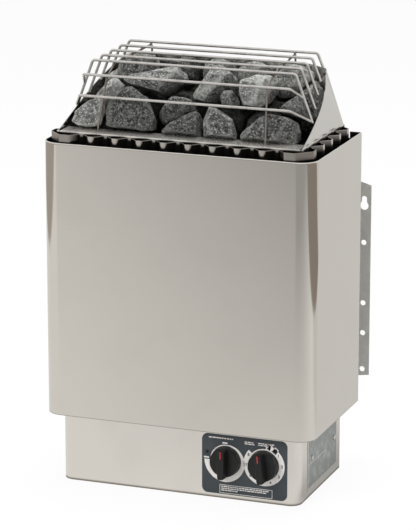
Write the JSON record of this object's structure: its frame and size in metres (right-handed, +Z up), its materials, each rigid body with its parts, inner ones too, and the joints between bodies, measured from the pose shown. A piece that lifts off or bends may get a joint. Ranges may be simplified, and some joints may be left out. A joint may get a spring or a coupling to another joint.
{
  "type": "electric sauna heater",
  "caption": "Wall-hung electric sauna heater: polished steel casing over a control box with two knobs, open stone chamber under a wire guard, and a wall bracket behind.",
  "frame": {"origin": "middle of the underside of the control box, on the surface that the heater stands on", "axes": "+Z up, +Y back towards the wall, +X to the right seen from the front"},
  "size_m": [0.41, 0.2924, 0.623],
  "materials": {
    "polished_steel": "polished",
    "sheet_steel": "satin",
    "screw_steel": "satin",
    "element_sheath": "satin",
    "brass": "satin",
    "stone": "matte",
    "guard_wire": "polished",
    "panel_print": "satin",
    "knob_plastic": "satin",
    "pointer_red": "satin",
    "ceramic": "matte",
    "capillary_copper": "satin",
    "lead_sleeve": "matte",
    "gland_plastic": "matte",
    "bracket_zinc": "satin"
  },
  "bodies": {
    "heater": {"box_cover": "polished_steel", "box_back": "sheet_steel", "base_plate": "sheet_steel", "deck_plate": "sheet_steel", "outer_casing": "polished_steel", "back_panel": "sheet_steel", "back_spacers": "sheet_steel", "panel_screws": "screw_steel", "casing_stays": "sheet_steel", "basket_walls": "polished_steel", "basket_back": "sheet_steel", "side_plate_left": "polished_steel", "side_plate_right": "polished_steel", "corrugated_liner": "sheet_steel", "stone_grate": "sheet_steel", "grate_rails": "sheet_steel", "heating_element_front": "element_sheath", "heating_element_middle": "element_sheath", "heating_element_rear": "element_sheath", "star_link": "brass", "stones_front": "stone", "stones_middle": "stone", "stones_back": "stone", "stones_core": "stone", "stones_under": "stone", "stones_low": "stone", "control_panel": "panel_print", "thermostat_body": "ceramic", "timer_body": "ceramic", "limiter_body": "ceramic", "sensor_tubes": "capillary_copper", "sensor_clip": "sheet_steel", "terminal_block": "ceramic", "terminal_screws": "brass", "supply_leads": "lead_sleeve", "cable_gland": "gland_plastic", "gland_nut": "gland_plastic", "side_cover_plate": "polished_steel", "cover_screws": "screw_steel", "bracket_rail_left": "bracket_zinc", "bracket_rail_right": "bracket_zinc", "bracket_cross_bars": "bracket_zinc", "hanger_hooks": "bracket_zinc", "lock_screw": "screw_steel"},
    "guard": {"guard_top_bars": "guard_wire", "guard_front_bars": "guard_wire", "guard_cross_wires": "guard_wire"},
    "thermostat": {"thermostat_knob": "knob_plastic", "thermostat_pointer": "pointer_red", "thermostat_spindle": "screw_steel"},
    "timer": {"timer_knob": "knob_plastic", "timer_pointer": "pointer_red", "timer_spindle": "screw_steel"},
    "reset": {"reset_button": "knob_plastic"}
  },
  "joints": [
    {"name": "guard_lift", "type": "slide", "parent": "heater", "child": "guard", "axis": [0, 0, 1], "range_m": [0, 0.12]},
    {"name": "thermostat_turn", "type": "hinge", "parent": "heater", "child": "thermostat", "pos_m": [0.07325, -0.0948, 0.057], "axis": [0, 1, 0], "range_deg": [0, 270]},
    {"name": "timer_turn", "type": "hinge", "parent": "heater", "child": "timer", "pos_m": [0.13075, -0.0948, 0.057], "axis": [0, 1, 0], "range_deg": [0, 320]},
    {"name": "reset_press", "type": "slide", "parent": "heater", "child": "reset", "axis": [0, 1, 0], "range_m": [0, 0.0025], "stiffness_N_per_m": 400}
  ]
}
